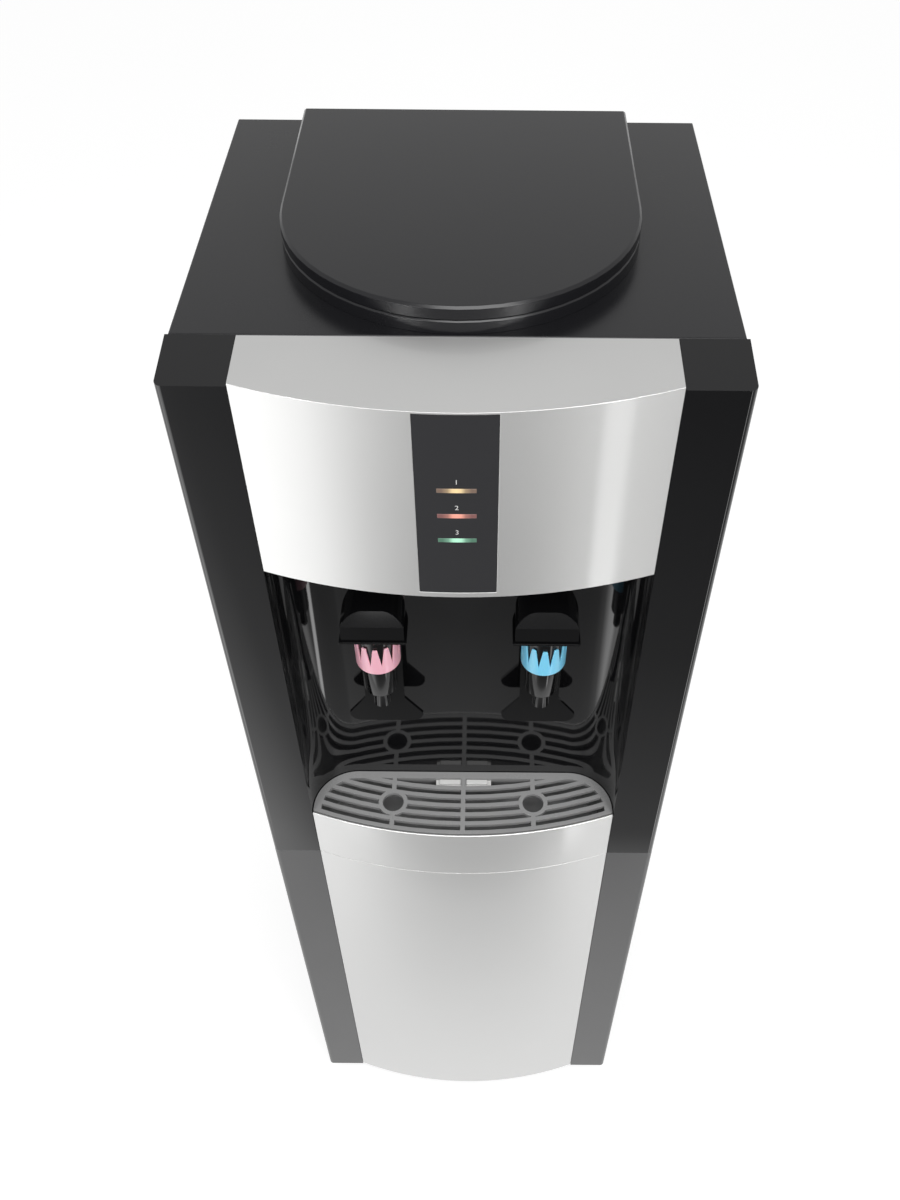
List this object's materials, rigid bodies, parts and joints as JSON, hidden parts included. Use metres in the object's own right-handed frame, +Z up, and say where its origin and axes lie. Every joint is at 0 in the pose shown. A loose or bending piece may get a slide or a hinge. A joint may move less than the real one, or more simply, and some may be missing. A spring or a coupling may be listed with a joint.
{
  "type": "point-of-use water cooler",
  "caption": "Floor-standing water cooler with bowed silver front, hot and cold push-lever taps in a recess, lift-out drip tray, D-shaped lid, tanks and cooling circuit.",
  "frame": {"origin": "middle of the cooler's outline, on the floor", "axes": "+Z up, -Y towards the front with the taps, +X to the right seen from the front"},
  "size_m": [0.31, 0.335, 0.98],
  "materials": {
    "gloss_black": "polished moulded plastic",
    "silver_panel": "satin silver paint on moulded plastic",
    "cabinet_sheet": "fine-textured black powder coat",
    "top_plastic": "fine-grained moulded plastic",
    "lid_plastic": "fine-grained moulded plastic",
    "strip_grey": "smooth dark grey",
    "board_green": "solder resist on a laminate",
    "lens_amber": "clear tinted",
    "lens_red": "clear tinted",
    "lens_green": "clear tinted",
    "collar_red": "glossy pink-red",
    "collar_blue": "glossy blue",
    "tray_plastic": "moulded plastic",
    "grille_plastic": "silk moulded plastic",
    "catch_plastic": "pale moulded plastic",
    "foot_rubber": "moulded rubber",
    "seal_rubber": "moulded rubber",
    "seal_silicone": "translucent silicone",
    "silicone": "translucent silicone",
    "stainless": "drawn stainless steel",
    "galvanised_sheet": "galvanised",
    "nut_plastic": "moulded nylon",
    "foam_white": "expanded foam",
    "foam_grey": "moulded foam",
    "copper": "drawn copper",
    "valve_plastic": "moulded acetal",
    "bakelite": "moulded thermoset",
    "compressor_paint": "gloss black enamel",
    "condenser_paint": "black enamel",
    "bracket_plastic": "moulded nylon",
    "gland_plastic": "moulded nylon",
    "zinc": "zinc plated",
    "float_plastic": "blow-moulded plastic",
    "cap_plastic": "moulded plastic",
    "rocker_red": "glossy red",
    "rocker_green": "glossy green"
  },
  "bodies": {
    "cabinet": {"base_tray": "cabinet_sheet", "feet": "foot_rubber", "side_panel_right": "cabinet_sheet", "side_panel_left": "cabinet_sheet", "back_panel": "cabinet_sheet", "top_cover": "top_plastic", "lid_collar": "top_plastic", "upper_casing": "gloss_black", "lower_casing": "gloss_black", "lower_fascia": "silver_panel", "upper_fascia": "silver_panel", "tray_apron": "silver_panel", "indicator_strip": "strip_grey", "indicator_board": "board_green", "lens_power": "lens_amber", "lens_heating": "lens_red", "lens_cooling": "lens_green", "tank_shelves": "galvanised_sheet", "tap_pins": "stainless", "tap_washers": "seal_rubber", "tap_nuts": "nut_plastic", "tap_body_hot": "gloss_black", "tap_bonnet_hot": "gloss_black", "tap_collar_hot": "collar_red", "tap_body_cold": "gloss_black", "tap_bonnet_cold": "gloss_black", "tap_collar_cold": "collar_blue", "cold_tank": "stainless", "tank_insulation": "foam_white", "evaporator_coil": "copper", "float_valve": "valve_plastic", "hot_tank": "stainless", "hot_insulation": "foam_grey", "thermostats": "bakelite", "compressor": "compressor_paint", "compressor_mounts": "seal_rubber", "condenser_coil": "condenser_paint", "condenser_wires": "condenser_paint", "condenser_brackets": "bracket_plastic", "refrigerant_lines": "copper", "switch_bodies": "bakelite", "cord_gland": "gland_plastic", "inlet_fitting": "valve_plastic", "water_hoses": "silicone", "drain_pipe": "silicone", "screws": "zinc"},
    "lid": {"lid": "lid_plastic"},
    "drip_tray": {"drip_tray": "tray_plastic"},
    "drip_grille": {"drip_grille": "grille_plastic", "grille_catch": "catch_plastic"},
    "lever_hot": {"tap_lever_hot": "gloss_black"},
    "plunger_hot": {"tap_plunger_hot": "seal_silicone", "tap_spring_hot": "stainless"},
    "rocker_hot": {"rocker_hot": "rocker_red"},
    "lever_cold": {"tap_lever_cold": "gloss_black"},
    "plunger_cold": {"tap_plunger_cold": "seal_silicone", "tap_spring_cold": "stainless"},
    "rocker_cold": {"rocker_cold": "rocker_green"},
    "float_arm": {"float_arm": "float_plastic"},
    "drain_cap": {"drain_cap": "cap_plastic"}
  },
  "joints": [
    {"name": "lid_lift", "type": "slide", "parent": "cabinet", "child": "lid", "axis": [0, 0, 1], "range_m": [0, 0.12]},
    {"name": "tray_lift", "type": "slide", "parent": "cabinet", "child": "drip_tray", "axis": [0, 0, 1], "range_m": [0, 0.045]},
    {"name": "grille_lift", "type": "slide", "parent": "drip_tray", "child": "drip_grille", "axis": [0, 0, 1], "range_m": [0, 0.03]},
    {"name": "lever_hot_swing", "type": "hinge", "parent": "cabinet", "child": "lever_hot", "pos_m": [-0.055, -0.1494, 0.772], "axis": [1, 0, 0], "range_deg": [0, 5.5], "stiffness_Nm_per_rad": 0.5, "springref_deg": -8.59},
    {"name": "plunger_hot_lift", "type": "slide", "parent": "cabinet", "child": "plunger_hot", "axis": [0, 0, 1], "range_m": [0, 0.0013], "deforming": ["tap_spring_hot"]},
    {"name": "lever_cold_swing", "type": "hinge", "parent": "cabinet", "child": "lever_cold", "pos_m": [0.055, -0.1494, 0.772], "axis": [1, 0, 0], "range_deg": [0, 5.5], "stiffness_Nm_per_rad": 0.5, "springref_deg": -8.59},
    {"name": "plunger_cold_lift", "type": "slide", "parent": "cabinet", "child": "plunger_cold", "axis": [0, 0, 1], "range_m": [0, 0.0013], "deforming": ["tap_spring_cold"]},
    {"name": "rocker_hot_tip", "type": "hinge", "parent": "cabinet", "child": "rocker_hot", "pos_m": [-0.118, 0.1365, 0.8945], "axis": [1, 0, 0], "range_deg": [0, 18]},
    {"name": "rocker_cold_tip", "type": "hinge", "parent": "cabinet", "child": "rocker_cold", "pos_m": [-0.118, 0.1365, 0.8675], "axis": [1, 0, 0], "range_deg": [0, 18]},
    {"name": "float_swing", "type": "hinge", "parent": "cabinet", "child": "float_arm", "pos_m": [0, 0.09, 0.905], "axis": [1, 0, 0], "range_deg": [0, 25]},
    {"name": "cap_pull", "type": "slide", "parent": "cabinet", "child": "drain_cap", "axis": [0, 1, 0], "range_m": [0, 0.03]}
  ],
  "couplings": [
    {"joint": "plunger_hot_lift", "follows": "lever_hot_swing", "m_per_rad": 0.0125},
    {"joint": "plunger_cold_lift", "follows": "lever_cold_swing", "m_per_rad": 0.0125}
  ]
}
